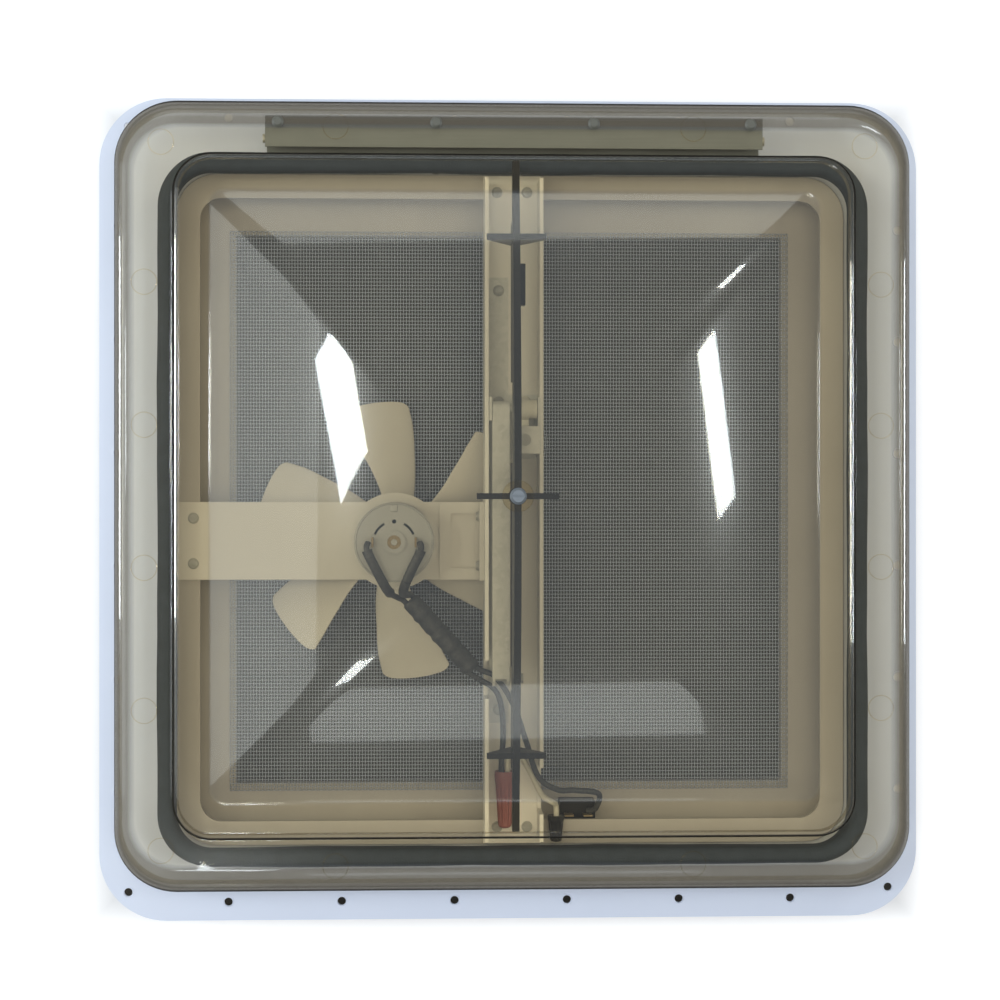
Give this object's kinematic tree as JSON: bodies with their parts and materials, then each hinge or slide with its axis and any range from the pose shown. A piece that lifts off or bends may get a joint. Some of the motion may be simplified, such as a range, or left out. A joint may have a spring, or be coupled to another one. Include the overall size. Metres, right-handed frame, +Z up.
{
  "type": "caravan roof vent",
  "caption": "Square caravan roof vent with a hinged smoke-tinted lid on a flanged base, a crank-driven lift arm, insect screen and a small exhaust fan.",
  "frame": {"origin": "centre of the flange underside, on the roof surface", "axes": "+X to the right, +Y towards the lid hinge, +Z up out of the roof"},
  "size_m": [0.44, 0.44, 0.1652],
  "materials": {
    "white_paint": "gloss white paint",
    "foam": "black foam",
    "smoke_plastic": "clear smoke tint, gloss",
    "hinge_steel": "dull plated",
    "zinc": "zinc plated",
    "cream_plastic": "satin moulded",
    "net": "coated woven thread",
    "black_paint": "satin black",
    "motor_steel": "dull plated",
    "ferrite": "pressed",
    "bronze": "machined",
    "carbon": "pressed carbon",
    "nylon": "moulded",
    "black_rubber": "matt",
    "red_plastic": "moulded",
    "black_plastic": "moulded",
    "white_insulation": "smooth"
  },
  "bodies": {
    "base": {"base_frame": "white_paint", "collar_seal": "foam", "base_hinge_leaf": "hinge_steel", "base_hinge_rivets": "zinc", "hinge_pin": "zinc", "inner_frame": "cream_plastic", "frame_lip": "cream_plastic", "screen_ledge": "cream_plastic", "frame_screws": "zinc", "insect_screen": "net", "screen_grommet": "black_rubber", "ceiling_trim": "cream_plastic", "trim_screws": "zinc", "centre_beam": "cream_plastic", "beam_screws": "zinc", "fan_bracket": "cream_plastic", "bracket_screws": "zinc", "motor_can": "motor_steel", "motor_end_cap": "motor_steel", "motor_magnets": "ferrite", "motor_bushes": "bronze", "motor_brushes": "carbon", "motor_terminals": "bronze", "motor_screws": "zinc", "operator_bracket": "zinc", "operator_rivets": "zinc", "crank_bush": "nylon", "switch_body": "black_plastic", "switch_terminals": "bronze", "motor_lead_left": "black_rubber", "motor_lead_right": "black_rubber", "white_lead": "white_insulation", "terminal_sleeves": "black_rubber", "lead_sleeve": "black_rubber", "red_wire_nut": "red_plastic", "dark_wire_nut": "black_plastic"},
    "lid": {"lid_shell": "smoke_plastic", "lid_rim": "smoke_plastic", "lid_hinge_leaf": "hinge_steel", "lid_hinge_rivets": "zinc", "lid_rail": "black_paint", "crown_screw": "black_paint"},
    "arm": {"lift_arm": "zinc", "arm_shaft": "zinc", "sector_gear": "nylon", "slider_pin": "zinc"},
    "slider": {"slider_block": "nylon"},
    "crank": {"worm": "zinc", "crank_shaft": "zinc", "crank_handle": "cream_plastic", "crank_screw": "zinc", "knob_pin": "zinc"},
    "knob": {"crank_knob": "cream_plastic"},
    "fan": {"fan_rotor": "cream_plastic", "motor_shaft": "zinc", "armature": "motor_steel", "fan_nut": "zinc"},
    "rocker": {"switch_rocker": "black_plastic"}
  },
  "joints": [
    {"name": "lid_hinge", "type": "hinge", "parent": "base", "child": "lid", "pos_m": [0, 0.191, 0.046], "axis": [-1, 0, 0], "range_deg": [0, 50]},
    {"name": "arm_swing", "type": "hinge", "parent": "base", "child": "arm", "pos_m": [0, 0.052, 0.046], "axis": [-1, 0, 0], "range_deg": [0, 100]},
    {"name": "slider_turn", "type": "hinge", "parent": "arm", "child": "slider", "pos_m": [0, -0.087, 0.046], "axis": [1, 0, 0], "range_deg": [0, 50]},
    {"name": "crank_turn", "type": "hinge", "parent": "base", "child": "crank", "pos_m": [0.005, 0.0358, -0.041], "axis": [0, 0, -1], "range_deg": [0, 2800]},
    {"name": "knob_spin", "type": "hinge", "parent": "crank", "child": "knob", "pos_m": [0.005, -0.0092, -0.06], "axis": [0, 0, 1], "continuous": true},
    {"name": "fan_spin", "type": "hinge", "parent": "base", "child": "fan", "pos_m": [-0.062, -0.0165, 0.001], "axis": [0, 0, 1], "continuous": true},
    {"name": "rocker_switch", "type": "hinge", "parent": "base", "child": "rocker", "pos_m": [0.036, -0.1638, -0.0161], "axis": [0, 1, 0], "range_deg": [0, 16]}
  ],
  "couplings": [
    {"joint": "arm_swing", "follows": "lid_hinge", "ratio": 2},
    {"joint": "slider_turn", "follows": "lid_hinge", "ratio": 1},
    {"joint": "crank_turn", "follows": "lid_hinge", "ratio": 56}
  ]
}
